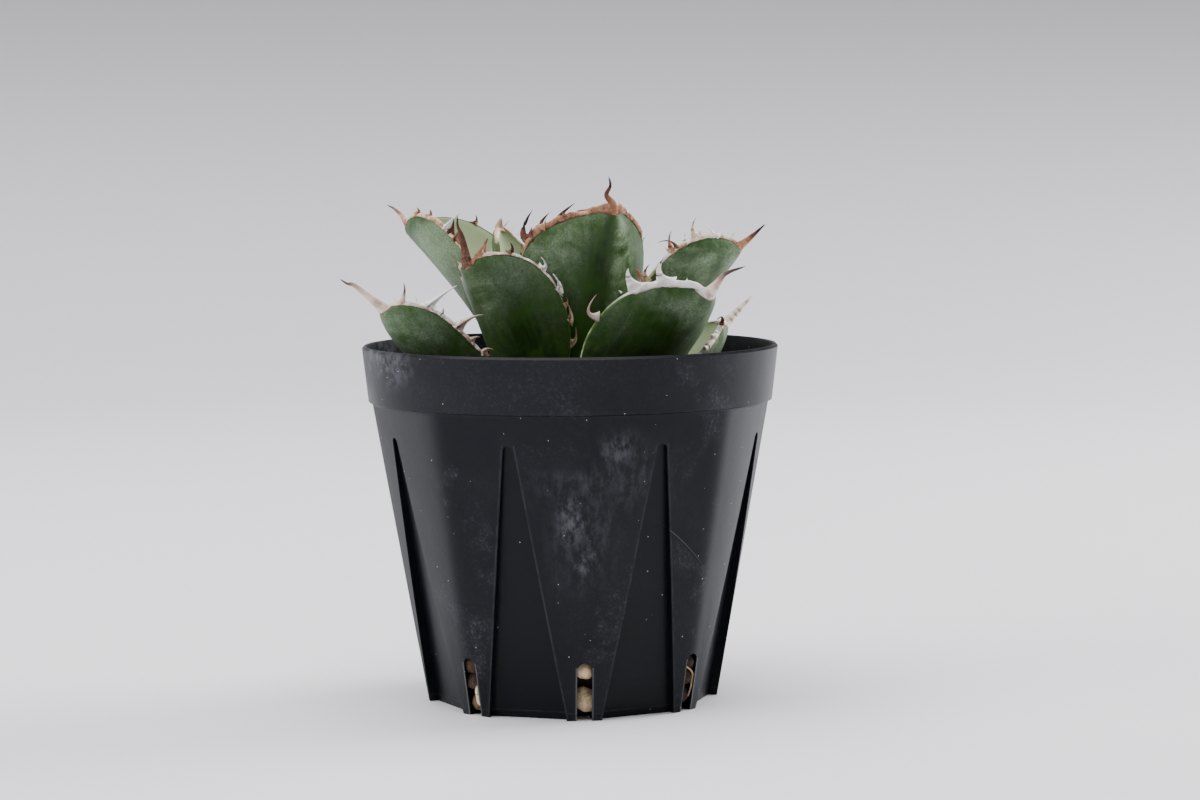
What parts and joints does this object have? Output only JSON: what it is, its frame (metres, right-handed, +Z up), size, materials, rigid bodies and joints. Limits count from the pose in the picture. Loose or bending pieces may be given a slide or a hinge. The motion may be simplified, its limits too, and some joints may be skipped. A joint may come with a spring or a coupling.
{
  "type": "potted agave",
  "caption": "Small spiny agave rosette with toothed horny leaf margins, standing in granular soil in a round black slit-sided nursery pot.",
  "frame": {"origin": "centre of the pot's floor, on the surface that the pot stands on", "axes": "+Z up along the pot's axis, -Y towards the front with one slit facing it, +X to the right seen from the front"},
  "size_m": [0.0951, 0.09, 0.1133],
  "materials": {
    "pot": "satin black injection-moulded plastic with dust and faint water stains",
    "soil": "tan and brown granules, dry",
    "stem": "dry fibrous skin",
    "leaf": "waxy, deep green with a grey bloom towards the tips",
    "horn": "corky cream margins, brown teeth and spines that darken to their tips"
  },
  "bodies": {
    "root": {"pot": "pot", "soil": "soil", "stem": "stem", "bud": "leaf", "leaf_front_right_low": "leaf", "margin_front_right_low": "horn", "leaf_front_left_mid": "leaf", "margin_front_left_mid": "horn", "leaf_left_low": "leaf", "margin_left_low": "horn", "leaf_right_back_low": "leaf", "margin_right_back_low": "horn", "leaf_back_low": "leaf", "margin_back_low": "horn", "leaf_front_inner": "leaf", "margin_front_inner": "horn", "leaf_right_mid": "leaf", "margin_right_mid": "horn", "leaf_left_mid": "leaf", "margin_left_mid": "horn", "leaf_back_mid": "leaf", "margin_back_mid": "horn", "leaf_back_left_inner": "leaf", "margin_back_left_inner": "horn", "leaf_right_inner": "leaf", "margin_right_inner": "horn", "leaf_left_inner": "leaf", "margin_left_inner": "horn"}
  },
  "joints": []
}
